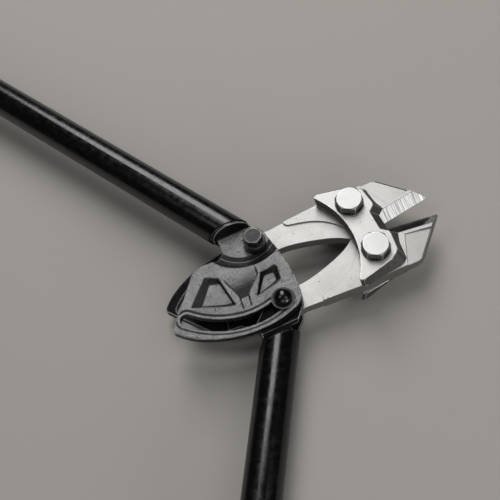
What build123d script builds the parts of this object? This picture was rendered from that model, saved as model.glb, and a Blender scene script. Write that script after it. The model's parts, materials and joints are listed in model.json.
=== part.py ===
"""Compound-lever bolt cutters, opened to their limit and lying on their back.

Two jaws swing on two strap bolts. Each jaw's rear eye is pinned in a forked cast head on a tubular
handle, and the pin's far end carries a roller in a curved slot of the other handle's head. Closing
the handles drives the two pins apart along the slots, which closes the jaws.

Both handles are the same set of parts, one turned over about the tool's centre line, and so are
the two jaws and the two straps.

Everything is drawn in the tool's frame: X along the centre line towards the blades, Y across it,
Z square to the flat tool, with the origin midway between the strap bolts. The last step lifts the
tool so that its strap nuts and end caps stand on Z = 0, with the footprint's centre at the origin.
"""

from build123d import *
import math
import os

# Driving dimensions, in millimetres and degrees.

# Places of the four pivots, tool open
STRAP_PIVOT_Y = 22.0
EYE_X = -77.4
EYE_Y = 27.5

# Travel: each jaw on its strap bolt, and each handle on its jaw
JAW_TRAVEL = 8.0
HANDLE_TRAVEL = 60.0
HANDLE_SPREAD = 60.0

# Stack of plates, as half heights from the tool's mid-plane
ARM_Z = 4.2
JAW_Z = 5.6
STRAP_IN_Z = 5.8
STRAP_OUT_Z = 16.6
FORK_IN_Z = 4.4
FORK_OUT_Z = 7.8
WEB_Z = 6.2
FAN_IN_Z = 8.3
FAN_OUT_Z = 14.4
FLOOR_Z = 24.4

# Strap bolts, M12
STRAP_BOLT_R = 6.0
STRAP_HEX = 19.0
STRAP_WASHER_T = 1.0
STRAP_WASHER_R = 10.9
WASHER_TEETH = 30
SLEEVE_R = 7.95
JAW_BUSH_IN_R = 8.0
JAW_BUSH_OUT_R = 9.5

# Handle pivots, M8
PIVOT_R = 4.0
PIVOT_RUN_R = 4.05
PIVOT_HEX = 13.0
PIVOT_HEX_BASE_Z = 13.0
PIVOT_HEX_TOP_Z = 22.0
COLLAR_R = 8.85
EYE_BUSH_R = 6.0
EYE_R = 11.5
FORK_R = 14.0
THROAT_R = 12.8
ROLLER_R = 4.5
SLOT_HALF = 4.7
SLOT_WASHER_R = 8.75
SLOT_WASHER_IN_Z = 14.5
SLOT_WASHER_OUT_Z = 16.0
CAP_R = 6.6
CAP_SIDE_Z = 18.6
CAP_TOP_Z = 22.6

# Tubes and grips. Each tube lies to its own fan's side of the mid-plane, so that the other
# handle's fan passes over it.
TUBE_LIFT = 6.3
TUBE_SHIFT = 2.0
TUBE_R = 14.3
TUBE_BORE_R = 12.5
PLUG_R = 12.4
COLLAR_NECK_R = 13.4
SHOULDER_FOOT_Y = 17.5
SHOULDER_TOP_Y = 19.2
TUBE_END_Y = 20.8
PLUG_LENGTH = 92.0
TUBE_LENGTH = 612.0
CROSS_PIN_R = 3.0
CROSS_PIN_AT = (56.0, 78.0)
GRIP_START = 470.0
GRIP_R = 16.6
GRIP_GUARD_R = 18.0
GRIP_GUARD_T = 7.0
END_CAP_R = FLOOR_Z
END_CAP_T = 16.0
END_PLUG_LENGTH = 26.0

# Where the footprint's centre is behind the strap bolts
FOOTPRINT_X = 176.5

GAP = 0.05


def turned_over(shape):
    """The same piece on the other side of the tool: half a turn about the centre line."""
    return Rotation(180, 0, 0) * shape


def disc(x, y, radius, low, high):
    """Upright cylinder between two heights."""
    return Pos(x, y, low) * Cylinder(
        radius, high - low, align=(Align.CENTER, Align.CENTER, Align.MIN)
    )


def ring(x, y, outer, inner, low, high):
    return disc(x, y, outer, low, high) - disc(x, y, inner, low, high)


def plate(outline, low, high):
    """Flat plate of a closed outline, a list of edges or points."""
    if isinstance(outline[0], tuple):
        outline = [Polyline(*outline, close=True)]
    face = make_face([edge for line in outline for edge in line.edges()])
    return extrude(Pos(0, 0, low) * face, high - low, dir=(0, 0, 1))


def section_face(plane, points):
    return plane * make_face(Polyline(*points, close=True))


def hexagon(x, y, flats, low, high, chamfer_top=0.0, chamfer_low=0.0):
    """Hexagonal prism whose corners are rounded off by cones, as on a bolt head or nut."""
    corner = flats / math.sqrt(3)
    body = Pos(x, y, low) * extrude(
        RegularPolygon(corner, 6, rotation=30), high - low, dir=(0, 0, 1)
    )
    cone = disc(x, y, corner + 0.01, low, high)
    if chamfer_top:
        cone = chamfer(cone.edges().group_by(Axis.Z)[-1], chamfer_top, chamfer_top * 1.7)
    if chamfer_low:
        cone = chamfer(cone.edges().group_by(Axis.Z)[0], chamfer_low, chamfer_low * 1.7)
    return body & cone


# Jaws


def blade_line(x):
    """Height of the open blade's edge over the centre line, so that closed edges just meet."""
    turn = math.radians(JAW_TRAVEL)
    return STRAP_PIVOT_Y - (STRAP_PIVOT_Y - GAP - x * math.sin(turn)) / math.cos(turn)


HEEL_X = -10.0
BLADE_START_X = 17.0
TIP_X = 58.2
OUTER_Y = 39.5
NOSE = ((TIP_X, 10.3), (33.4, 36.9), (26.0, OUTER_Y))
BEVEL_WIDTH = 9.0

# Section across the nose: distance out along the nose's normal, then height. The cheek's panel is
# sunk below the blade's face and ends in a low lip along the nose.
NOSE_TURN = 43.0
NOSE_SECTION = ((-90.0, -JAW_Z), (47.8, -JAW_Z), (49.4, 0.0), (47.8, JAW_Z), (-90.0, JAW_Z))
CHEEK_CUT = ((30.0, 4.8), (47.2, 3.9), (48.1, 4.8), (54.0, 4.8), (54.0, 8.0), (30.0, 8.0))
CHEEK_PLAN = ((27.4, 15.1), (56.0, 19.8), (56.0, 46.0), (14.3, 46.0))


def jaw():
    """Upper jaw: thin arm with its eye, thick blade and boss, ground bevels and side panels."""
    heel = (HEEL_X, 2 * GAP)
    facing = [heel, (2.0, 5 * GAP), (BLADE_START_X, blade_line(BLADE_START_X))]
    arm_top = [(-22.0, OUTER_Y), (-50.5, 37.6), (-64.0, 36.5), (EYE_X, EYE_Y + EYE_R)]
    arm_low = [(EYE_X, EYE_Y - EYE_R), (-62.0, 17.3), (-45.0, 14.8), (-32.0, 11.0)]
    arm_low += [(-20.0, 6.4), heel]
    arm = plate(
        [
            Polyline(heel, (0.0, 6.0), (0.0, OUTER_Y), *arm_top, arm_low[0]),
            Spline(*arm_low, tangents=((1, 0.02), (0.8, -0.6))),
        ],
        -ARM_Z,
        ARM_Z,
    )
    arm += disc(EYE_X, EYE_Y, EYE_R, -ARM_Z, ARM_Z)

    boss_end = (-50.5, 37.6)
    boss_rear = [(-46.5, 32.8), (-35.5, 29.8), (-23.0, 24.0), (-15.0, 17.0), (-9.8, 9.6)]
    head = plate(
        [
            ThreePointArc(boss_end, (-49.6, 34.8), boss_rear[0]),
            Spline(*boss_rear),
            Polyline(boss_rear[-1], *facing, (TIP_X, blade_line(TIP_X)), *NOSE),
            Polyline(NOSE[-1], *arm_top[:2]),
        ],
        -JAW_Z,
        JAW_Z,
    )
    head &= along_nose(NOSE_SECTION)
    head -= blade_bevel(1) + blade_bevel(-1)
    cheek = along_nose(CHEEK_CUT) & plate(list(CHEEK_PLAN), 0, JAW_Z + 1)
    head -= cheek + mirror(cheek, Plane.XY)
    body = arm + head
    body -= disc(0, STRAP_PIVOT_Y, JAW_BUSH_OUT_R, -JAW_Z - 1, JAW_Z + 1)
    return body - disc(EYE_X, EYE_Y, EYE_BUSH_R, -ARM_Z - 1, ARM_Z + 1)


def blade_bevel(side):
    """Wedge ground off one side of the blade, from its face down to the edge at mid-thickness."""
    run = BEVEL_WIDTH
    rise = JAW_Z * side
    over = 0.35
    corners = [(-over * run, -over * rise), ((1 + over) * run, (1 + over) * rise)]
    corners += [(-over * run, (1 + over) * rise)]
    start = Vector(BLADE_START_X, blade_line(BLADE_START_X), 0)
    along = Vector(1, math.tan(math.radians(JAW_TRAVEL)), 0).normalized()
    across = Vector(-along.Y, along.X, 0)
    section = Plane(origin=start, x_dir=across, z_dir=across.cross(Vector(0, 0, 1)))
    return extrude(section_face(section, corners), TIP_X, dir=along)


def along_nose(profile):
    """Prism along the nose from a section of (distance out, height) points."""
    turn = math.radians(NOSE_TURN)
    outwards = Vector(math.cos(turn), math.sin(turn), 0)
    section = Plane(origin=(0, 0, 0), x_dir=outwards, z_dir=outwards.cross(Vector(0, 0, 1)))
    return extrude(section_face(section, profile), 120, both=True)


# Straps and their bolts

# Half outlines of the strap's two faces, from the waist round the blade side to the outer corner
SEAT_HALF = ((18.1, 7.8), (23.4, 12.2), (20.6, 20.5), (19.2, 33.8), (16.8, 36.4), (13.8, 37.8))
SEAT_HALF += ((-18.5, 42.0),)
CROWN_HALF = ((10.1, 8.4), (15.2, 12.9), (15.6, 15.2), (13.9, 29.0), (11.4, 31.8), (5.7, 35.2))
CROWN_HALF += ((-20.0, 41.5),)
STRAP_BACK_X = -9.4


def strap():
    """Front strap: a thick H-shaped link whose blade side slopes outwards to the jaws."""
    seat = Pos(0, 0, STRAP_IN_Z) * strap_outline(SEAT_HALF)
    body = loft([seat, Pos(0, 0, STRAP_OUT_Z) * strap_outline(CROWN_HALF)], ruled=True)
    for side in (1, -1):
        body -= disc(0, side * STRAP_PIVOT_Y, STRAP_BOLT_R, STRAP_IN_Z - 1, STRAP_OUT_Z + 1)
    return body


def strap_outline(half):
    """Outline of one face: the half outline, its mirror image, and the concave back."""
    tip = (half[-1][0] - 2.0, half[-1][1] - 2.2)
    mirrored = [(x, -y) for x, y in (*half, tip)]
    lines = [
        Polyline(*reversed(mirrored), *half, tip),
        ThreePointArc(tip, (STRAP_BACK_X, 0.0), mirrored[-1]),
    ]
    return make_face([edge for line in lines for edge in line.edges()])


def strap_pair(build, *size):
    """One piece at each strap bolt, as one group."""
    return [build(0, side * STRAP_PIVOT_Y, *size) for side in (1, -1)]


def strap_bolt(x, y):
    head_low = STRAP_OUT_Z + STRAP_WASHER_T
    head = hexagon(x, y, STRAP_HEX, head_low, FLOOR_Z, chamfer_top=1.0)
    return head + disc(x, y, STRAP_BOLT_R, 0.9 - FLOOR_Z, head_low)


def strap_nut(x, y):
    nut = hexagon(x, y, STRAP_HEX, -FLOOR_Z, -STRAP_OUT_Z - STRAP_WASHER_T, chamfer_low=0.6)
    return nut - disc(x, y, STRAP_BOLT_R, -FLOOR_Z - 1, -STRAP_OUT_Z)


def tooth_washer(x, y, low):
    """Lock washer with small square teeth round its rim."""
    body = ring(x, y, STRAP_WASHER_R, STRAP_BOLT_R, low, low + STRAP_WASHER_T)
    notch = Pos(STRAP_WASHER_R, 0, STRAP_WASHER_T / 2) * Box(1.6, 1.1, STRAP_WASHER_T + 1)
    for index in range(WASHER_TEETH):
        turn = Rotation(0, 0, index * 360 / WASHER_TEETH)
        body -= Pos(x, y, low) * turn * notch
    return body


# Handles, drawn round the upper handle's pivot


def travel_point(jaw_turn):
    """Place of the other handle's pin in this cast head, with the jaws closed by jaw_turn."""
    lift = math.atan2(EYE_Y - STRAP_PIVOT_Y, -EYE_X)
    reach = math.hypot(EYE_X, EYE_Y - STRAP_PIVOT_Y)
    apart = 2 * (STRAP_PIVOT_Y + reach * math.sin(lift + math.radians(jaw_turn)))
    turn = math.radians(jaw_turn * (HANDLE_TRAVEL / JAW_TRAVEL - 1))
    return Vector(-apart * math.sin(turn), -apart * math.cos(turn))


SLOT_START = -0.12
SLOT_END = 9.45
SLOT_STEPS = 12


def slot_outline(half_width):
    """Closed outline at one distance all round the pin's path."""
    places = []
    for index in range(SLOT_STEPS + 1):
        turn = SLOT_START + (SLOT_END - SLOT_START) * index / SLOT_STEPS
        here = travel_point(turn)
        way = (travel_point(turn + 0.01) - travel_point(turn - 0.01)).normalized()
        places.append((here, way, Vector(-way.Y, way.X)))
    inner = [here - side * half_width for here, way, side in places]
    outer = [here + side * half_width for here, way, side in places]
    first, last = places[0], places[-1]
    return [
        Spline(*inner),
        ThreePointArc(inner[-1], last[0] + last[1] * half_width, outer[-1]),
        Spline(*reversed(outer)),
        ThreePointArc(outer[0], first[0] - first[1] * half_width, inner[0]),
    ]


def fan_outline():
    """Fan plate: nearly straight right side, long round foot, pointed left corner, cove at the neck."""
    foot = [(4.0, -65.2), (-12.8, -69.2), (-30.0, -69.3), (-46.6, -66.0), (-60.0, -61.0)]
    foot += [(-72.0, -54.0), (-80.3, -46.4)]
    return [
        Line((-82.1, -41.2), (-57.2, -10.2)),
        ThreePointArc((-57.2, -10.2), (-52.2, -4.7), (-45.4, -1.8)),
        Line((-45.4, -1.8), COVE_LEFT),
        ThreePointArc(COVE_LEFT, COVE_MIDDLE, COVE_RIGHT),
        Spline(COVE_RIGHT, (15.2, -34.0), (14.6, -52.5)),
        ThreePointArc((14.6, -52.5), (11.6, -60.6), (4.0, -65.2)),
        Spline(*foot),
        ThreePointArc((-80.3, -46.4), (-82.2, -43.8), (-82.1, -41.2)),
    ]


# Pad and cove are turned round one upright axis. The cove falls from the pad to the web, then
# rises to the fan's face.
COVE_LEFT = (-35.7, -2.6)
COVE_MIDDLE = (-13.4, -18.4)
COVE_RIGHT = (13.0, -14.2)
COVE_X = -5.4
COVE_Y = 16.5
COVE_TOP_R = 35.8
COVE_FOOT_R = 27.2
PAD_R = 23.6

# Pockets in the fan's face: rim outline, then floor outline, point for point
LEFT_RIM = ((-46.1, -12.4), (-36.7, -17.3), (-33.0, -44.0), (-42.0, -41.0), (-63.8, -31.2))
LEFT_FLOOR = ((-44.8, -17.4), (-36.6, -20.3), (-33.6, -40.0), (-40.3, -38.5), (-56.5, -32.2))
RIGHT_RIM = ((-6.6, -27.1), (5.3, -26.1), (6.7, -28.3), (5.3, -38.8), (0.4, -40.9), (-16.3, -44.3))
RIGHT_FLOOR = ((-4.9, -28.5), (2.0, -29.2), (3.0, -30.2), (2.4, -36.8), (-1.6, -38.4), (-15.2, -42.3))
POCKET_FLOOR_Z = 10.4

# Wedge-shaped hollow between the pockets: its floor sinks towards the slot and ends in a short level
# stretch as deep as the pockets
HOLLOW_PLAN = ((-34.2, -20.0), (-28.4, -38.6), (-29.3, -49.0), (-22.3, -49.2), (-20.8, -39.4))
HOLLOW_PLAN += ((-8.4, -27.2), (-8.0, -17.0), (-20.0, -13.0), (-33.0, -15.0))
HOLLOW_SINK = ((-13.0, 14.5), (-28.0, 13.2), (-39.2, POCKET_FLOOR_Z))
HOLLOW_END = ((-47.8, POCKET_FLOOR_Z), (-49.0, FAN_OUT_Z + 0.1))

# Sunk track for the slot washer, round the slot
TRACK_HALF = 7.6
TRACK_DEPTH = 0.8


def pocket(rim, floor):
    """Tapered pocket from a rim outline in the fan's face down to a smaller floor."""
    faces = []
    for outline, height in ((floor, POCKET_FLOOR_Z), (rim, FAN_OUT_Z + 0.01)):
        faces.append(Pos(0, 0, height) * make_face(Polyline(*outline, close=True)))
    return loft(faces, ruled=True)


def hollow():
    """Space above the hollow's floor: a long sinking arc, then the level end."""
    start, end = HOLLOW_SINK[0], HOLLOW_SINK[-1]
    above = FAN_OUT_Z + 1
    around = [end, *HOLLOW_END, (HOLLOW_END[1][0], above), (start[0], above), start]
    side = make_face([*ThreePointArc(*HOLLOW_SINK).edges(), *Polyline(*around).edges()])
    swept = extrude(side_view() * side, 240, dir=(1, 0, 0))
    return swept & plate(list(HOLLOW_PLAN), POCKET_FLOOR_Z - 2, above)


def pad_and_cove():
    """Turned pad of the front fork leg, and the hollow groove that joins it to the fan's face."""
    fan_edge_r = COVE_TOP_R + 1.5
    rise = ThreePointArc(
        (COVE_FOOT_R, WEB_Z), (COVE_TOP_R - 3.6, WEB_Z + 3.0), (COVE_TOP_R, FAN_OUT_Z)
    )
    fan_side = [(COVE_TOP_R, FAN_OUT_Z), (fan_edge_r, FAN_OUT_Z), (fan_edge_r, FORK_IN_Z)]
    pad_side = [(0, FORK_IN_Z), (0, FORK_OUT_Z), (PAD_R, FORK_OUT_Z), (COVE_FOOT_R, WEB_Z)]
    section = make_face([*rise.edges(), *Polyline(*fan_side, *pad_side).edges()])
    upright = Plane(origin=(COVE_X, COVE_Y, 0), x_dir=(1, 0, 0), z_dir=(0, -1, 0))
    turned = revolve(upright * section, Axis((COVE_X, COVE_Y, 0), (0, 0, 1)), 360)
    plan = [
        Polyline(COVE_LEFT, (-25.7, 4.1), (-25.1, SHOULDER_FOOT_Y), (3.2, SHOULDER_FOOT_Y)),
        ThreePointArc((3.2, SHOULDER_FOOT_Y), (8.9, 11.4), (11.1, 2.8)),
        Polyline((11.1, 2.8), (13.6, -6.4), (13.2, -20.0), (-4.0, -24.0), (-34.0, -18.0)),
        Polyline((-34.0, -18.0), (-44.5, -3.0), COVE_LEFT),
    ]
    return turned & plate(plan, FORK_IN_Z, FAN_OUT_Z)


def tube_axis():
    """Unit vector from the pivot along the open upper handle."""
    spread = math.radians(HANDLE_SPREAD)
    return Vector(-math.cos(spread), math.sin(spread), 0)


def tube_side():
    """Unit vector square to the handle, towards the tool's rear."""
    axis = tube_axis()
    return Vector(-axis.Y, axis.X, 0)


def tube_point(distance, sideways=0.0):
    """Point beside the tube's centre line, at a distance from the pivot along the handle."""
    across = tube_side() * (TUBE_SHIFT + sideways)
    return tube_axis() * distance + across + Vector(0, 0, TUBE_LIFT)


def rod(radius, start, end):
    """Cylinder on the tube's centre line, between two distances from the pivot."""
    base = Plane(origin=tube_point(start), x_dir=(0, 0, 1), z_dir=tube_axis())
    return base * Cylinder(
        radius, end - start, align=(Align.CENTER, Align.CENTER, Align.MIN)
    )


def side_view():
    """Plane square to X, left of the head, whose local axes are the tool's Y and Z."""
    return Plane(origin=(-140, 0, 0), x_dir=(0, 1, 0), z_dir=(1, 0, 0))


def across_tool(profile):
    """Wide prism along X from a closed outline of (Y, Z) points."""
    return extrude(section_face(side_view(), profile), 240, dir=(1, 0, 0))


def neck():
    """Flat fork block round the pivot, then a sloped shoulder up to the collar behind the tube."""
    foot, top = SHOULDER_FOOT_Y, SHOULDER_TOP_Y
    block_outline = [(10.9, 3.5), (8.7, 11.5), (3.2, foot), (-25.1, foot), (-25.7, 7.0)]
    block_outline += [(-12.1, -6.0)]
    block = plate(block_outline, -FORK_OUT_Z, FORK_OUT_Z)
    back_corner = [(foot - 1.6, -FORK_OUT_Z - 1), (foot - 1.6, -FORK_OUT_Z), (foot + 0.2, -4.8)]
    back_corner += [(foot + 1, -4.8), (foot + 1, -FORK_OUT_Z - 1)]
    block -= across_tool(back_corner)
    block += disc(0, 0, FORK_R, -FORK_OUT_Z, -FORK_IN_Z)
    collar = [(foot - 0.5, -30.0), (foot - 0.5, FORK_OUT_Z), (foot, FORK_OUT_Z)]
    collar += [(top, 30.0), (TUBE_END_Y, 30.0), (TUBE_END_Y, -30.0)]
    beyond = [(foot, -30.0), (foot, FORK_OUT_Z), (top, 30.0), (200.0, 30.0), (200.0, -30.0)]
    collar = rod(COLLAR_NECK_R, -20, 60) & across_tool(collar)
    return block + collar + (rod(PLUG_R, -20, PLUG_LENGTH) & across_tool(beyond))


def cast_head():
    """Forked cast head with its fan plate, drawn for the upper handle, fan in front."""
    fan = plate(fan_outline(), FAN_IN_Z, FAN_OUT_Z)
    web_outline = [(13.4, -8.0), (12.6, -23.2), (-4.0, -28.0), (-30.0, -27.0), (-43.0, -13.0)]
    web_outline += [(-45.4, -3.4), (-35.7, -2.6), (-25.6, 6.0), (-12.0, 6.0), (0.0, 0.0)]
    web = plate(web_outline, FORK_IN_Z, WEB_Z)
    root = plate(web_outline, WEB_Z - 0.5, FAN_IN_Z + 0.5) & plate(
        fan_outline(), WEB_Z - 0.5, FAN_IN_Z + 0.5
    )
    body = neck()
    body -= disc(0, 0, THROAT_R, -FORK_IN_Z, FORK_IN_Z)
    body -= plate([(0, 30), (16, 30), (16, -30), (-10, -30), (-10, -9)], -FORK_IN_Z, FORK_IN_Z)
    body += pad_and_cove() + web + root + fan
    body -= plate(slot_outline(SLOT_HALF), FAN_IN_Z - 1, FAN_OUT_Z + 1)
    body -= plate(slot_outline(TRACK_HALF), FAN_OUT_Z - TRACK_DEPTH, FAN_OUT_Z + 1)
    body -= pocket(LEFT_RIM, LEFT_FLOOR) + pocket(RIGHT_RIM, RIGHT_FLOOR)
    body -= hollow()
    body -= disc(0, 0, PIVOT_R, -FORK_OUT_Z - 1, FORK_OUT_Z + 1)
    for pin in cross_pins():
        body -= pin
    return body


def cross_pins():
    """Two pins that hold the tube on the plug, square to the tube and level with its skin."""
    skin = rod(TUBE_R, CROSS_PIN_AT[0] - 10, CROSS_PIN_AT[1] + 10)
    pins = []
    for place in CROSS_PIN_AT:
        base = Plane(origin=tube_point(place, -20), x_dir=(0, 0, 1), z_dir=tube_side())
        pin = base * Cylinder(CROSS_PIN_R, 40, align=(Align.CENTER, Align.CENTER, Align.MIN))
        pins.append(pin & skin)
    return pins


def tube():
    """Steel tube, mitred at the head and square at the grip end."""
    body = rod(TUBE_R, -20, TUBE_LENGTH) - rod(TUBE_BORE_R, -21, TUBE_LENGTH + 1)
    body -= across_tool([(-100, -50), (TUBE_END_Y, -50), (TUBE_END_Y, 50), (-100, 50)])
    for pin in cross_pins():
        body -= pin
    return body


def turned_along_handle(profile, lift=TUBE_LIFT):
    """Solid of revolution round the handle from (distance, radius) points."""
    start = tube_point(0) + Vector(0, 0, lift - TUBE_LIFT)
    plane = Plane(origin=start, x_dir=tube_axis(), z_dir=tube_axis().cross(tube_side()))
    return revolve(section_face(plane, profile), Axis(start, tube_axis()), 360)


def grip():
    """Soft sleeve over the tube with a finger guard at its front."""
    bore = TUBE_R
    guard_end = GRIP_START + GRIP_GUARD_T
    return turned_along_handle(
        [
            (GRIP_START, bore),
            (GRIP_START + 1.0, GRIP_GUARD_R - 1.5),
            (GRIP_START + 2.5, GRIP_GUARD_R),
            (guard_end - 1.5, GRIP_GUARD_R),
            (guard_end + 6.0, GRIP_R),
            (TUBE_LENGTH, GRIP_R),
            (TUBE_LENGTH, bore),
        ]
    )


def end_cap():
    """Cap plugged into the tube, its round foot centred on the tool's mid-plane.

    The foot is as large as the strap nuts are high, so the open tool lies level on either side.
    """
    end = TUBE_LENGTH + END_CAP_T
    plug_start = TUBE_LENGTH - END_PLUG_LENGTH
    plug = turned_along_handle(
        [
            (plug_start, 0),
            (plug_start, TUBE_BORE_R - 1.0),
            (plug_start + 2.0, TUBE_BORE_R),
            (TUBE_LENGTH + 1.0, TUBE_BORE_R),
            (TUBE_LENGTH + 1.0, 0),
        ]
    )
    foot = turned_along_handle(
        [
            (TUBE_LENGTH, 0),
            (TUBE_LENGTH, END_CAP_R - 1.5),
            (TUBE_LENGTH + 1.5, END_CAP_R),
            (end - 6.0, END_CAP_R),
            (end - 1.5, END_CAP_R - 4.5),
            (end, END_CAP_R - 10.0),
            (end, 0),
        ],
        lift=0,
    )
    return plug + foot


def pivot_bolt():
    """Flanged hex bolt through the collar, the fork and the jaw's eye, to the cap nut behind."""
    head = hexagon(0, 0, PIVOT_HEX, PIVOT_HEX_BASE_Z, PIVOT_HEX_TOP_Z, chamfer_top=0.7)
    flange = disc(0, 0, PIVOT_HEX * 0.6, PIVOT_HEX_BASE_Z, PIVOT_HEX_BASE_Z + 1.2)
    return head + flange + disc(0, 0, PIVOT_R, 2.0 - CAP_TOP_Z, PIVOT_HEX_BASE_Z + 0.5)


def cap_nut():
    """Round domed nut behind the slot washer, with a blind hole for the bolt."""
    side = disc(0, 0, CAP_R, -CAP_SIDE_Z, -SLOT_WASHER_OUT_Z)
    dome_height = CAP_TOP_Z - CAP_SIDE_Z
    radius = (CAP_R**2 + dome_height**2) / (2 * dome_height)
    dome = Pos(0, 0, radius - CAP_TOP_Z) * Sphere(radius)
    dome &= disc(0, 0, CAP_R, -CAP_TOP_Z - 1, -CAP_SIDE_Z)
    return side + dome - disc(0, 0, PIVOT_R, 1.8 - CAP_TOP_Z, 0)


def handle_parts():
    """Every piece of the upper handle, by its plain name."""
    return {
        "head_casting": cast_head(),
        "tube": tube(),
        "cross_pins": cross_pins(),
        "grip": grip(),
        "end_cap": end_cap(),
        "pivot_bolt": pivot_bolt(),
        "pivot_collar": ring(0, 0, COLLAR_R, PIVOT_R, FORK_OUT_Z, PIVOT_HEX_BASE_Z),
        "slot_roller": ring(0, 0, ROLLER_R, PIVOT_R, -SLOT_WASHER_IN_Z, -FORK_OUT_Z),
        "slot_washer": ring(0, 0, SLOT_WASHER_R, PIVOT_R, -SLOT_WASHER_OUT_Z, -SLOT_WASHER_IN_Z),
        "cap_nut": cap_nut(),
    }


def jaw_parts():
    return {
        "jaw": jaw(),
        "jaw_bush": ring(0, STRAP_PIVOT_Y, JAW_BUSH_OUT_R, JAW_BUSH_IN_R, -JAW_Z, JAW_Z),
        "eye_bush": ring(EYE_X, EYE_Y, EYE_BUSH_R, PIVOT_RUN_R, -ARM_Z, ARM_Z),
    }


def both_sides(pieces, place=Pos(0, 0, 0)):
    """Upper pieces as drawn and lower pieces turned over, each in its own node."""
    nodes = {}
    for name, solid in pieces.items():
        group = solid if isinstance(solid, list) else [solid]
        nodes["upper_" + name] = [place * piece for piece in group]
        nodes["lower_" + name] = [turned_over(place * piece) for piece in group]
    return nodes


def head_nodes():
    washer_low = -STRAP_OUT_Z - STRAP_WASHER_T
    return {
        "front_strap": [strap()],
        "rear_strap": [turned_over(strap())],
        "strap_bolts": strap_pair(strap_bolt),
        "strap_nuts": strap_pair(strap_nut),
        "front_lock_washers": strap_pair(tooth_washer, STRAP_OUT_Z),
        "rear_lock_washers": strap_pair(tooth_washer, washer_low),
        "strap_sleeves": strap_pair(ring, SLEEVE_R, STRAP_BOLT_R, -STRAP_IN_Z, STRAP_IN_Z),
    }


def main():
    nodes = head_nodes()
    nodes.update(both_sides(jaw_parts()))
    nodes.update(both_sides(handle_parts(), Pos(EYE_X, EYE_Y, 0)))
    standing = Pos(FOOTPRINT_X, 0, FLOOR_Z)
    os.makedirs("parts", exist_ok=True)
    for name, group in nodes.items():
        solids = [solid for piece in group for solid in (standing * piece).solids()]
        shape = solids[0] if len(solids) == 1 else Compound(children=solids)
        export_step(shape, f"parts/{name}.step")


main()
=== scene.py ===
# %% [markdown]
# Bolt cutters, dressed around a fixed frame.
#
# The solids of the tool come from its CAD model and stay where they are. This notebook gives every
# one its real finish: blasted steel on the jaws, a grainy black coat on the cast heads, semi-gloss
# paint on the tubes. Pieces whose edges catch the light get a softened copy of their solid.

import json
import math

import bpy
import numpy as np
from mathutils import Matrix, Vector


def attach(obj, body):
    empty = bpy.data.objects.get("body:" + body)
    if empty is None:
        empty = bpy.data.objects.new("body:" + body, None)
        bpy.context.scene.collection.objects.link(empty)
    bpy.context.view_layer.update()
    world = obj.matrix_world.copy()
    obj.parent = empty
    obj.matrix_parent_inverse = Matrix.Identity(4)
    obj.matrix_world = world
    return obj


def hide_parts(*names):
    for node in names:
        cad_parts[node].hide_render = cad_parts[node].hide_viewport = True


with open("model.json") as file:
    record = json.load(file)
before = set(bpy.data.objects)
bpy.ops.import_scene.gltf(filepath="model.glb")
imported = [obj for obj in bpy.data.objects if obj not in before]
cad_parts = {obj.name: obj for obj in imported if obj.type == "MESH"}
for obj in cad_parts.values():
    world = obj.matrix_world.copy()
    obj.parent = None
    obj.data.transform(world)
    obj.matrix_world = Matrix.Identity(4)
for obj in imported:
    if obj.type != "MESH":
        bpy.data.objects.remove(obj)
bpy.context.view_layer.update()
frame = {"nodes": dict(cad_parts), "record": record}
MM = 0.001
HEAD = Vector((176.5, 0.0, 24.4)) * MM
bpy.context.scene.view_settings.view_transform = "Standard"

# %% [markdown]
# A camera looks down its own -Z axis, so placing it needs a position and three turns. The head of
# the tool is seen from the handle's side, about 30 degrees off square, with a fairly long lens that
# keeps the two handles' sizes alike.

# %% Camera
CAMERA_FROM_HEAD = Vector((-130.9, -298.2, 560.1)) * MM
CAMERA_TURNS = (29.563, 8.330, -22.796)
FOCAL_LENGTH = 60.6

camera_data = bpy.data.cameras.new("studio_camera")
camera_data.lens = FOCAL_LENGTH
camera_data.sensor_width = 36.0
camera_data.clip_start = 0.01
camera = bpy.data.objects.new("studio_camera", camera_data)
camera.location = HEAD + CAMERA_FROM_HEAD
camera.rotation_euler = [math.radians(turn) for turn in CAMERA_TURNS]
bpy.context.scene.collection.objects.link(camera)
bpy.context.scene.camera = camera
print("camera", [round(v, 3) for v in camera.location])

# %% [markdown]
# Colours are written as the hex values a designer would read off a swatch. Blender's shaders mix
# light, not screen values, so one function turns each hex into linear numbers. A second small
# function adds any shader node together with its settings and its links.

# %% Colour and node helpers


def linear(hex_colour):
    """Linear RGBA of an sRGB hex colour."""
    values = [int(hex_colour[i : i + 2], 16) / 255 for i in (1, 3, 5)]
    return [v / 12.92 if v <= 0.04045 else ((v + 0.055) / 1.055) ** 2.4 for v in values] + [1.0]


def add_node(tree, kind, links=None, **settings):
    """Add one node, set its properties or input values, and link its inputs."""
    node = tree.nodes.new(kind)
    for name, value in settings.items():
        if hasattr(node, name):
            setattr(node, name, value)
        else:
            node.inputs[name.replace("_", " ")].default_value = value
    for name, source in (links or {}).items():
        tree.links.new(source, node.inputs[name])
    return node


def start_material(name, **surface):
    """New node material with its Principled surface set, and its tree and object coordinates."""
    material = bpy.data.materials.new(name)
    material.use_nodes = True
    tree = material.node_tree
    shader = tree.nodes["Principled BSDF"]
    for key, value in surface.items():
        shader.inputs[key.replace("_", " ")].default_value = value
    place = add_node(tree, "ShaderNodeTexCoord").outputs["Object"]
    return material, tree, shader, place


def noise(tree, place, size_mm, detail, roughness):
    """Noise whose blotches are about size_mm across."""
    scale = 1.0 / (size_mm * MM)
    settings = {"Scale": scale, "Detail": detail, "Roughness": roughness}
    node = add_node(tree, "ShaderNodeTexNoise", {"Vector": place}, **settings)
    return node.outputs["Fac"]


def spread(tree, value, low, high, out_low, out_high):
    """Map a value's range onto another range."""
    node = add_node(tree, "ShaderNodeMapRange", {"Value": value})
    for key, number in zip(
        ("From Min", "From Max", "To Min", "To Max"), (low, high, out_low, out_high)
    ):
        node.inputs[key].default_value = number
    return node.outputs["Result"]


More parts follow.
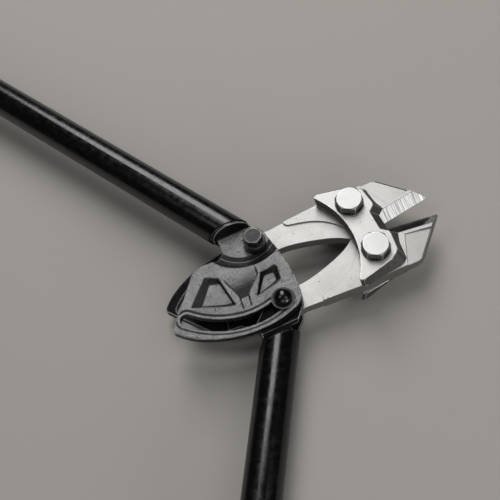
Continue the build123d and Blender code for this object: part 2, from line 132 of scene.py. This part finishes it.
def calculate(tree, operation, *values):
    """One Math node on links or plain numbers."""
    node = add_node(tree, "ShaderNodeMath", operation=operation)
    for socket, value in zip(node.inputs, values):
        if isinstance(value, float):
            socket.default_value = value
        else:
            tree.links.new(value, socket)
    return node.outputs["Value"]


def side_facing(tree, low, high):
    """0 on level faces and 1 on upright ones: the upright part of the surface's own normal."""
    normal = add_node(tree, "ShaderNodeTexCoord").outputs["Normal"]
    height = add_node(tree, "ShaderNodeSeparateXYZ", {"Vector": normal}).outputs["Z"]
    return spread(tree, calculate(tree, "ABSOLUTE", height), high, low, 0.0, 1.0)


def blend_colours(tree, factor, first, second):
    """Mix two hex colours, or links, by a factor."""
    node = tree.nodes.new("ShaderNodeMix")
    node.data_type = "RGBA"
    tree.links.new(factor, node.inputs["Factor"])
    for key, colour in (("A", first), ("B", second)):
        socket = [s for s in node.inputs if s.name == key and s.type == "RGBA"][0]
        if isinstance(colour, str):
            socket.default_value = linear(colour)
        else:
            tree.links.new(colour, socket)
    return [s for s in node.outputs if s.type == "RGBA"][0]


def bump(tree, shader, height, depth_mm, strength):
    """Drive the shader's normal from a height of 0 to 1."""
    node = add_node(
        tree, "ShaderNodeBump", {"Height": height}, Strength=strength, Distance=depth_mm * MM
    )
    tree.links.new(node.outputs["Normal"], shader.inputs["Normal"])


# %% [markdown]
# The jaws and straps are drop-forged tool steel. Their wide faces are blasted with fine shot after
# hardening, which leaves an even, satin grey with a close stipple and a few deeper pits. Steel is a
# metal, so its base colour is what tints its reflections, and the blasting makes it rough: around
# 0.6, where the ground bevels further down stay under 0.2. Flanks and steep rounded edges get a
# darker colour of painted shade, which the material finds by the surface's own normal.

# %% Blasted steel


def blasted_steel(name, light, dark, roughness, flank_shade=None, pitted=True, grain=0.4):
    """Blasted metal between two tones, with painted shade on the flanks and pits where asked for.
    """
    material, tree, shader, place = start_material(name, Metallic=1.0)
    smudge = spread(tree, noise(tree, place, 22.0, 4.0, 0.6), 0.3, 0.7, 0.0, 1.0)
    colour = blend_colours(tree, smudge, light, dark)
    stipple = noise(tree, place, 0.45, 3.0, 0.65)
    colour = blend_colours(tree, spread(tree, stipple, 0.45, 0.7, 0.0, grain), colour, "#8E8C89")
    if pitted:
        pits = add_node(tree, "ShaderNodeTexVoronoi", {"Vector": place}, Scale=1 / (7.0 * MM))
        pit = spread(tree, pits.outputs["Distance"], 0.04, 0.08, 0.0, 1.0)
        colour = blend_colours(tree, pit, "#4A4744", colour)
    # Painted shade: faces leaning away from level take a darker, mottled colour.
    if flank_shade:
        scale = spread(tree, noise(tree, place, 3.0, 4.0, 0.6), 0.35, 0.65, 0.0, 0.35)
        shaded_flank = blend_colours(tree, scale, flank_shade, "#8E8C89")
        colour = blend_colours(tree, side_facing(tree, 0.75, 0.9), colour, shaded_flank)
    tree.links.new(colour, shader.inputs["Base Color"])
    rough = spread(tree, stipple, 0.3, 0.7, roughness - 0.05, roughness + 0.06)
    tree.links.new(rough, shader.inputs["Roughness"])
    bump(tree, shader, stipple, 0.06, 1.5 * grain)
    return material


# The flank colours given here are painted shade.
forged_strap = blasted_steel("blasted_strap_steel", "#CFCECC", "#C5C4C1", 0.60, flank_shade="#5E5C5A")
forged_jaw = blasted_steel("blasted_jaw_steel", "#B9B8B6", "#A9A7A4", 0.56, flank_shade="#8A8886")
worn_steel = blasted_steel("burnished_steel_edge", "#E4E3E1", "#D5D3D0", 0.45, pitted=False)
plated = blasted_steel(
    "zinc_plated_steel", "#B4B4B3", "#A8A8A8", 0.5, flank_shade="#6E6E6E", pitted=False, grain=0.15
)
bronze = blasted_steel("sintered_bronze", "#A98452", "#8F6C3F", 0.45, pitted=False)
spring_steel = blasted_steel("oiled_spring_steel", "#2E2D2C", "#252423", 0.4, pitted=False)

# %% [markdown]
# The bevels of the blades are ground, not blasted. The wheel runs across the edge, so the scratches
# do too: noise of about a millimetre is stretched 25 times across the edge. The wheel also leans a
# little, so the mapping turns the pattern by 22 degrees, the other way on the other blade.

# %% Ground bevel
SCRATCH_TURN = 22.0
SCRATCH_STRETCH = 0.04


def ground_steel(name, turn):
    """Bare steel with the wheel's scratches, turned by an angle in degrees."""
    material, tree, shader, place = start_material(name, Metallic=1.0)
    grid = add_node(tree, "ShaderNodeMapping", {"Vector": place})
    grid.inputs["Rotation"].default_value = (0.0, 0.0, math.radians(turn))
    grid.inputs["Scale"].default_value = (1.0, SCRATCH_STRETCH, SCRATCH_STRETCH)
    scratch = noise(tree, grid.outputs["Vector"], 1.1, 3.0, 0.65)
    colour = blend_colours(tree, spread(tree, scratch, 0.38, 0.62, 0.0, 1.0), "#CACAC9", "#858584")
    tree.links.new(colour, shader.inputs["Base Color"])
    rough = spread(tree, scratch, 0.3, 0.7, 0.10, 0.17)
    tree.links.new(rough, shader.inputs["Roughness"])
    bump(tree, shader, scratch, 0.012, 0.5)
    return material


ground_bevels = {
    "upper_jaw": ground_steel("ground_upper_bevel", -SCRATCH_TURN),
    "lower_jaw": ground_steel("ground_lower_bevel", SCRATCH_TURN),
}

# %% [markdown]
# The handle heads are cast steel under a black coat. The coat follows the sand cast skin, so it is
# lumpy at one to three millimetres, and it has a satin sheen in which the iron still shows. Level
# faces get a painted grey sheen, edges are rubbed nearly bare, and flanks and hollows get painted
# shade that keeps them black. Three numbers on each point of the mesh say where that is: how
# sharply the surface bends outwards (worn edges) or inwards (painted shade in hollows), and whether
# it faces the middle of the tool or lies under the other head's plate (painted shade there too). A
# later cell measures them.

# %% Black coat on castings


def surface_number(tree, name):
    """Output that reads a number stored on the points of the mesh."""
    return add_node(tree, "ShaderNodeAttribute", attribute_name=name).outputs["Fac"]


def cast_coat(name, level_sheen_dark, level_sheen_light, flank_shade):
    """Black coat: a painted sheen between two greys on level faces, painted shade on the rest."""
    material, tree, shader, place = start_material(name, Metallic=0.75)
    blotch = spread(tree, noise(tree, place, 16.0, 4.0, 0.6), 0.35, 0.65, 0.0, 1.0)
    colour = blend_colours(tree, blotch, level_sheen_dark, level_sheen_light)
    sand = noise(tree, place, 2.3, 4.0, 0.7)
    colour = blend_colours(tree, spread(tree, sand, 0.5, 0.68, 0.0, 0.35), colour, "#222223")
    # Painted shade: faces that are not quite level lose the painted sheen and turn dark grey.
    colour = blend_colours(tree, side_facing(tree, 0.975, 0.9999), colour, "#39393A")
    # Painted shade: steep flanks turn near black.
    colour = blend_colours(tree, side_facing(tree, 0.4, 0.8), colour, flank_shade)
    # Painted shade on faces turned to the tool's middle and under the other head's plate.
    colour = blend_colours(tree, surface_number(tree, "inner_shade"), colour, "#121213")
    # Painted shade in hollows, where the surface bends inwards.
    colour = blend_colours(tree, surface_number(tree, "hollow_shade"), colour, "#0B0B0C")
    rub = spread(tree, noise(tree, place, 4.0, 4.0, 0.7), 0.35, 0.6, 0.45, 1.0)
    bare = calculate(tree, "MULTIPLY", surface_number(tree, "worn"), rub)
    colour = blend_colours(tree, bare, colour, "#B4B4B3")
    tree.links.new(colour, shader.inputs["Base Color"])
    rough = spread(tree, noise(tree, place, 5.0, 2.0, 0.5), 0.3, 0.7, 0.27, 0.37)
    tree.links.new(rough, shader.inputs["Roughness"])
    bump(tree, shader, sand, 1.6, 1.0)
    return material


# The two level tones are a painted sheen; the last colour is the flanks' painted shade.
coat = cast_coat("black_coat_on_cast_steel", "#929293", "#ACACAD", "#131314")

# %% [markdown]
# The tubes carry a smooth black paint with a soft gloss. Paint is a dielectric with an index near
# 1.5. Slow waves in its film, and fingermarks, break the long highlight into patches.

# %% Semi-gloss black paint


def gloss_black(name, base, roughness, wave_mm, depth_mm, uneven=0.07):
    """Smooth dark film over slow waves, with a roughness that wanders by uneven either way."""
    material, tree, shader, place = start_material(name, IOR=1.5)
    shader.inputs["Base Color"].default_value = linear(base)
    film = noise(tree, place, wave_mm, 3.0, 0.55)
    rough = spread(tree, film, 0.35, 0.65, roughness - uneven, roughness + uneven)
    tree.links.new(rough, shader.inputs["Roughness"])
    bump(tree, shader, film, depth_mm, 0.5)
    return material


paint = gloss_black("semi_gloss_black_paint", "#030304", 0.23, 5.0, 0.1, uneven=0.06)
black_oxide = gloss_black("satin_black_oxide", "#0A0A0B", 0.54, 2.0, 0.15)
enamel = gloss_black("glossy_black_enamel", "#050506", 0.2, 6.0, 0.05, uneven=0.04)
plastic = gloss_black("moulded_black_plastic", "#17171A", 0.5, 0.8, 0.05)
rubbed_oxide = blasted_steel("rubbed_oxide_edge", "#9A9A99", "#7C7C7B", 0.4, pitted=False)

# %% [markdown]
# The grips are matt moulded rubber with fine rings round them, 4 mm apart, over a grained skin.
# Both handles leave the head at 60 degrees, one on each side, so one distance serves for both of
# them: half of minus X plus 0.87 of Y without its sign. A sine of that distance makes the rings.

# %% Ribbed rubber
RING_STEP_MM = 4.0
HANDLE_SPREAD = math.radians(60)


def ribbed_rubber(name):
    """Matt rubber with rings round the handle."""
    material, tree, shader, place = start_material(name, IOR=1.5)
    axes = add_node(tree, "ShaderNodeSeparateXYZ", {"Vector": place}).outputs
    width = calculate(tree, "ABSOLUTE", axes["Y"])
    aside = calculate(tree, "MULTIPLY", width, math.sin(HANDLE_SPREAD))
    along = calculate(tree, "MULTIPLY_ADD", axes["X"], -math.cos(HANDLE_SPREAD), aside)
    turns = calculate(tree, "MULTIPLY", along, 2 * math.pi / (RING_STEP_MM * MM))
    rings = spread(tree, calculate(tree, "SINE", turns), -1.0, 0.2, 0.0, 1.0)
    grain = noise(tree, place, 0.7, 3.0, 0.6)
    dusty = spread(tree, noise(tree, place, 18.0, 4.0, 0.6), 0.4, 0.7, 0.0, 0.5)
    colour = blend_colours(tree, dusty, "#121212", "#262524")
    tree.links.new(colour, shader.inputs["Base Color"])
    tree.links.new(spread(tree, grain, 0.3, 0.7, 0.52, 0.7), shader.inputs["Roughness"])
    height = calculate(tree, "MULTIPLY_ADD", grain, 0.15, rings)
    bump(tree, shader, height, 0.4, 0.9)
    return material


rubber = ribbed_rubber("ribbed_black_rubber")

# %% [markdown]
# Every CAD node that stays visible now gets its finish. The record names a slot for each node, so a
# short table from slot to material dresses them all.

# %% Dress the solids
FINISHES = {
    "bright_steel": forged_strap,
    "plated_steel": plated,
    "bronze": bronze,
    "black_casting": coat,
    "black_tube": paint,
    "black_hardware": black_oxide,
    "soft_grip": rubber,
    "hard_plastic": plastic,
}
SLOT_OF = {part["node"]: part["material_slot"] for part in frame["record"]["subparts"]}
for node_name, solid in frame["nodes"].items():
    solid.data.materials.clear()
    solid.data.materials.append(FINISHES[SLOT_OF[node_name]])
for side in ("upper", "lower"):
    frame["nodes"][side + "_cap_nut"].data.materials[0] = enamel
for side in ("front", "rear"):
    frame["nodes"][side + "_lock_washers"].data.materials[0] = spring_steel
print("dressed", len(frame["nodes"]), "nodes")

# %% [markdown]
# No real edge is perfectly sharp, and the thin bright line along a rounded edge is much of what
# makes metal look solid. The CAD solids have sharp edges, so each piece that is seen close gets a
# copy of its solid. The copy's loose triangles are merged, its flat faces are joined again, and a
# Bevel modifier rounds every edge that turns by more than 25 degrees. Weighted normals then keep
# the wide faces flat, so that the shading bends only on the rounded strip.

# %% Softened copies
MERGE_MM = 0.002
FLAT_WITHIN = math.radians(0.3)
EDGE_FROM = math.radians(25.0)
SMOOTH_WITHIN = math.radians(35.0)
EDGE_FINISH = 1
TALL_MM = 8.0
BODY_OF = {
    part: body for body, parts in frame["record"]["behaviour"]["bodies"].items() for part in parts
}


def merged_copy(node_name):
    """Copy of a CAD solid with its triangles joined up, left in edit mode with all selected."""
    source = frame["nodes"][node_name]
    copy = bpy.data.objects.new(node_name + "_dressed", source.data.copy())
    bpy.context.scene.collection.objects.link(copy)
    bpy.ops.object.select_all(action="DESELECT")
    copy.select_set(True)
    bpy.context.view_layer.objects.active = copy
    bpy.ops.object.mode_set(mode="EDIT")
    bpy.ops.mesh.select_all(action="SELECT")
    bpy.ops.mesh.remove_doubles(threshold=MERGE_MM * MM)
    return copy


def hand_over(piece, node_name):
    """Let the dressed piece stand for its solid, on the same body."""
    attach(piece, BODY_OF[node_name])
    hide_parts(node_name)
    triangles = sum(len(face.vertices) - 2 for face in piece.data.polygons)
    print(piece.name, triangles, "triangles")


def round_corners(piece, radius_mm, beyond_mm):
    """Round the upright corner edges that lie further out along Y than a distance."""
    bpy.ops.mesh.select_mode(type="EDGE")
    bpy.ops.mesh.select_all(action="DESELECT")
    bpy.ops.object.mode_set(mode="OBJECT")
    points = piece.data.vertices
    for edge in piece.data.edges:
        ends = [points[index].co for index in edge.vertices]
        tall = abs(ends[0].z - ends[1].z) > TALL_MM * MM
        edge.select = tall and min(abs(end.y) for end in ends) > beyond_mm * MM
    chosen = sum(edge.select for edge in piece.data.edges)
    bpy.ops.object.mode_set(mode="EDIT")
    bpy.ops.mesh.bevel(offset=radius_mm * MM, segments=4, affect="EDGES")
    print(piece.name, chosen, "corner edges rounded")


def softened(node_name, radius_mm, finish, edge_finish=None, corners=None):
    """Copy of a solid with rounded edges, in one finish or with another on the edges."""
    piece = merged_copy(node_name)
    bpy.ops.mesh.dissolve_limited(angle_limit=FLAT_WITHIN)
    if corners:
        round_corners(piece, *corners)
    bpy.ops.object.mode_set(mode="OBJECT")
    piece.data.materials.clear()
    piece.data.materials.append(finish)
    piece.data.materials.append(edge_finish or finish)
    rounding = piece.modifiers.new("rounding", "BEVEL")
    rounding.width = radius_mm * MM
    rounding.segments = 2
    rounding.limit_method = "ANGLE"
    rounding.angle_limit = EDGE_FROM
    rounding.use_clamp_overlap = False
    rounding.material = EDGE_FINISH
    bpy.ops.object.modifier_apply(modifier=rounding.name)
    bpy.ops.object.shade_smooth_by_angle(angle=SMOOTH_WITHIN)
    flatten = piece.modifiers.new("flat_faces_stay_flat", "WEIGHTED_NORMAL")
    flatten.keep_sharp = True
    bpy.ops.object.modifier_apply(modifier=flatten.name)
    return piece


# %% [markdown]
# Straps, bolts and nuts are the nearest pieces, so they get the finest rounding. A forging has a
# bigger radius than a hexagon that was rolled from bar. The two outermost corners of each strap are
# rounder still.

# %% Straps and fasteners
STRAP_EDGE_MM = 0.45
HEX_EDGE_MM = 0.2
STRAP_CORNER_MM = 1.8
STRAP_CORNERS_BEYOND_MM = 41.0

for node_name in ("front_strap", "rear_strap"):
    corners = (STRAP_CORNER_MM, STRAP_CORNERS_BEYOND_MM)
    hand_over(softened(node_name, STRAP_EDGE_MM, forged_strap, worn_steel, corners), node_name)
for node_name in ("strap_bolts", "strap_nuts"):
    hand_over(softened(node_name, HEX_EDGE_MM, plated, worn_steel), node_name)
for side_name in ("upper", "lower"):
    for part in ("_pivot_bolt", "_slot_washer"):
        node_name = side_name + part
        hand_over(softened(node_name, HEX_EDGE_MM, black_oxide, rubbed_oxide), node_name)

# %% [markdown]
# The jaws take a third finish besides their faces and edges: the ground bevels. A bevel is found by
# its normal, because nothing else on a jaw slopes by about 32 degrees and also faces the other jaw.

# %% Jaws
JAW_EDGE_MM = 0.3
BEVEL_SLOPES = (27.0, 37.0)
FACING_OTHER_JAW = 0.3
SIDES = (("upper", 1), ("lower", -1))


def paint_bevels(piece, side, finish):
    """Give the ground finish to faces that slope towards the other blade."""
    piece.data.materials.append(finish)
    count = 0
    for face in piece.data.polygons:
        slope = math.degrees(math.acos(min(1.0, abs(face.normal.z))))
        sloped = BEVEL_SLOPES[0] < slope < BEVEL_SLOPES[1]
        if sloped and face.normal.y * side < -FACING_OTHER_JAW:
            face.material_index = len(piece.data.materials) - 1
            count += 1
    print(piece.name, count, "bevel faces")


for side_name, side in SIDES:
    node_name = side_name + "_jaw"
    jaw_piece = softened(node_name, JAW_EDGE_MM, forged_jaw)
    paint_bevels(jaw_piece, side, ground_bevels[node_name])
    hand_over(jaw_piece, node_name)

# %% [markdown]
# The cast heads have no crisp edge anywhere, because sand can't hold one. A voxel remesh turns the
# solid into an even skin of half millimetre squares, and two smoothing passes melt its edges. The
# plug deep inside the tube is cut off first, because nobody sees it and it would cost a fifth of
# the skin. The even skin also makes the three numbers of the coat easy to measure: how far a point
# stands out of its neighbours, and which way it faces. Each head's plate is on one side of the
# tool, so its other side is the one that slides under the other head's plate.

# %% Cast heads
VOXEL_MM = 0.5
MELT_PASSES = 2
SPREAD_PASSES = 3
HANDLE_PIVOT = (99.1, 27.5, 24.4)
HIDDEN_FROM_MM = 45.0
WORN_BEND = (0.04, 0.11)
# Bend limits for the painted shade in hollows.
HOLLOW_SHADE_BEND = (0.05, 0.17)
SHADE_FADE_MM = 4.0


def places_and_normals(mesh):
    """Every point's place and normal, one row each."""
    places, normals = np.empty((2, len(mesh.vertices) * 3))
    mesh.vertices.foreach_get("co", places)
    mesh.vertex_normals.foreach_get("vector", normals)
    return places.reshape(-1, 3), normals.reshape(-1, 3)


def bends(mesh, points, normals):
    """How far each point stands out of (plus) or in from (minus) its neighbours, smoothed."""
    pairs = np.empty(len(mesh.edges) * 2, dtype=int)
    mesh.edges.foreach_get("vertices", pairs)
    first, second = pairs.reshape(-1, 2).T
    here = np.concatenate([first, second])
    there = np.concatenate([second, first])
    count = np.bincount(here, minlength=len(points))
    step = points[there] - points[here]
    sink = (step * normals[here]).sum(axis=1) / np.linalg.norm(step, axis=1)
    value = -np.bincount(here, sink, len(points)) / count
    for _ in range(SPREAD_PASSES):
        value = (value + np.bincount(here, value[there], len(points)) / count) / 2
    return value


def store(mesh, name, values):
    """Keep one number from 0 to 1 on each point, for the coat's material to read."""
    layer = mesh.attributes.new(name, "FLOAT", "POINT")
    layer.data.foreach_set("value", np.clip(values, 0.0, 1.0).astype(np.float32))


def ramp(values, limits):
    """0 at the first limit and 1 at the second, in a straight line."""
    return (values - limits[0]) / (limits[1] - limits[0])


def cast_skin(node_name, side):
    """Even skin over a cast head, with the coat's three numbers measured on it."""
    x, y, z = HANDLE_PIVOT
    pivot = Vector((x, y * side, z)) * MM
    along = Vector((-math.cos(HANDLE_SPREAD), side * math.sin(HANDLE_SPREAD), 0.0))
    cut = pivot + along * HIDDEN_FROM_MM * MM
    piece = merged_copy(node_name)
    bpy.ops.mesh.bisect(plane_co=cut, plane_no=along, use_fill=True, clear_outer=True)
    bpy.ops.object.mode_set(mode="OBJECT")
    piece.data.materials.clear()
    piece.data.materials.append(coat)
    skin = piece.modifiers.new("skin", "REMESH")
    skin.mode = "VOXEL"
    skin.voxel_size = VOXEL_MM * MM
    bpy.ops.object.modifier_apply(modifier=skin.name)
    melt = piece.modifiers.new("melt", "SMOOTH")
    melt.factor = 0.5
    melt.iterations = MELT_PASSES
    bpy.ops.object.modifier_apply(modifier=melt.name)
    bpy.ops.object.shade_smooth()
    points, normals = places_and_normals(piece.data)
    bend = bends(piece.data, points, normals)
    store(piece.data, "worn", ramp(bend, WORN_BEND))
    # Painted shade in hollows, for the coat to read.
    store(piece.data, "hollow_shade", ramp(-bend, HOLLOW_SHADE_BEND))
    # Painted shade: marks faces turned to the tool's middle and the side under the other head's
    # plate.
    height = points[:, 2] - HEAD.z
    facing_in = -normals[:, 2] * np.sign(height) * 2 - 0.5
    under_plate_shade = -side * height / (SHADE_FADE_MM * MM)
    store(piece.data, "inner_shade", np.maximum(facing_in, under_plate_shade))
    return piece


for side_name, side in SIDES:
    node_name = side_name + "_head_casting"
    hand_over(cast_skin(node_name, side), node_name)

# %% [markdown]
# The stage is a wide pale floor under the tool. The main light is a tall softbox to the rear,
# placed so that the level faces mirror it towards the camera. A second one near the camera lights
# the faces that lean its way, and a strip on the handle's side draws the line along the upper tube.
# A low card and a large fill in front keep the flanks from going flat. The sky is kept dim, so that
# faces turned away from all of them stay dark.

# %% Stage and lights
FLOOR_SIZE = 12.0
FLOOR_DROP = 0.0002
SKY_STRENGTH = 0.05
LAMP_DISTANCE = 1.9

bpy.ops.object.select_all(action="DESELECT")
bpy.ops.mesh.primitive_plane_add(size=FLOOR_SIZE, location=(0, 0, -FLOOR_DROP))
floor = bpy.context.object
floor.name = "studio_floor"
bpy.ops.object.transform_apply(location=True, rotation=True, scale=True)
floor_material, _, floor_shader, _ = start_material("pale_floor", Roughness=0.9)
floor_shader.inputs["Base Color"].default_value = linear("#A5A19C")
floor.data.materials.append(floor_material)

world = bpy.data.worlds.new("dim_studio")
bpy.context.scene.world = world
world.use_nodes = True
sky = world.node_tree.nodes["Background"]
sky.inputs["Color"].default_value = linear("#D8D8D8")
sky.inputs["Strength"].default_value = SKY_STRENGTH


def soft_lamp(name, direction, width, height, power):
    """Area lamp that shines on the head from a direction."""
    data = bpy.data.lights.new(name, "AREA")
    data.shape = "RECTANGLE"
    data.size = width
    data.size_y = height
    data.energy = power
    lamp = bpy.data.objects.new(name, data)
    towards = Vector(direction).normalized()
    lamp.location = HEAD + towards * LAMP_DISTANCE
    lamp.rotation_euler = (-towards).to_track_quat("-Z", "Y").to_euler()
    bpy.context.scene.collection.objects.link(lamp)


soft_lamp("overhead_softbox", (0.11, 0.58, 0.80), 0.85, 1.7, 27.0)
soft_lamp("camera_side_softbox", (0.443, -0.505, 0.741), 1.0, 1.0, 5.0)
soft_lamp("handle_side_strip", (-0.50, 0.06, 0.86), 0.45, 0.6, 3.0)
soft_lamp("low_front_card", (0.37, -0.90, 0.25), 0.9, 0.4, 9.0)
soft_lamp("front_fill_softbox", (-0.30, -0.80, 0.52), 1.2, 0.9, 5.0)
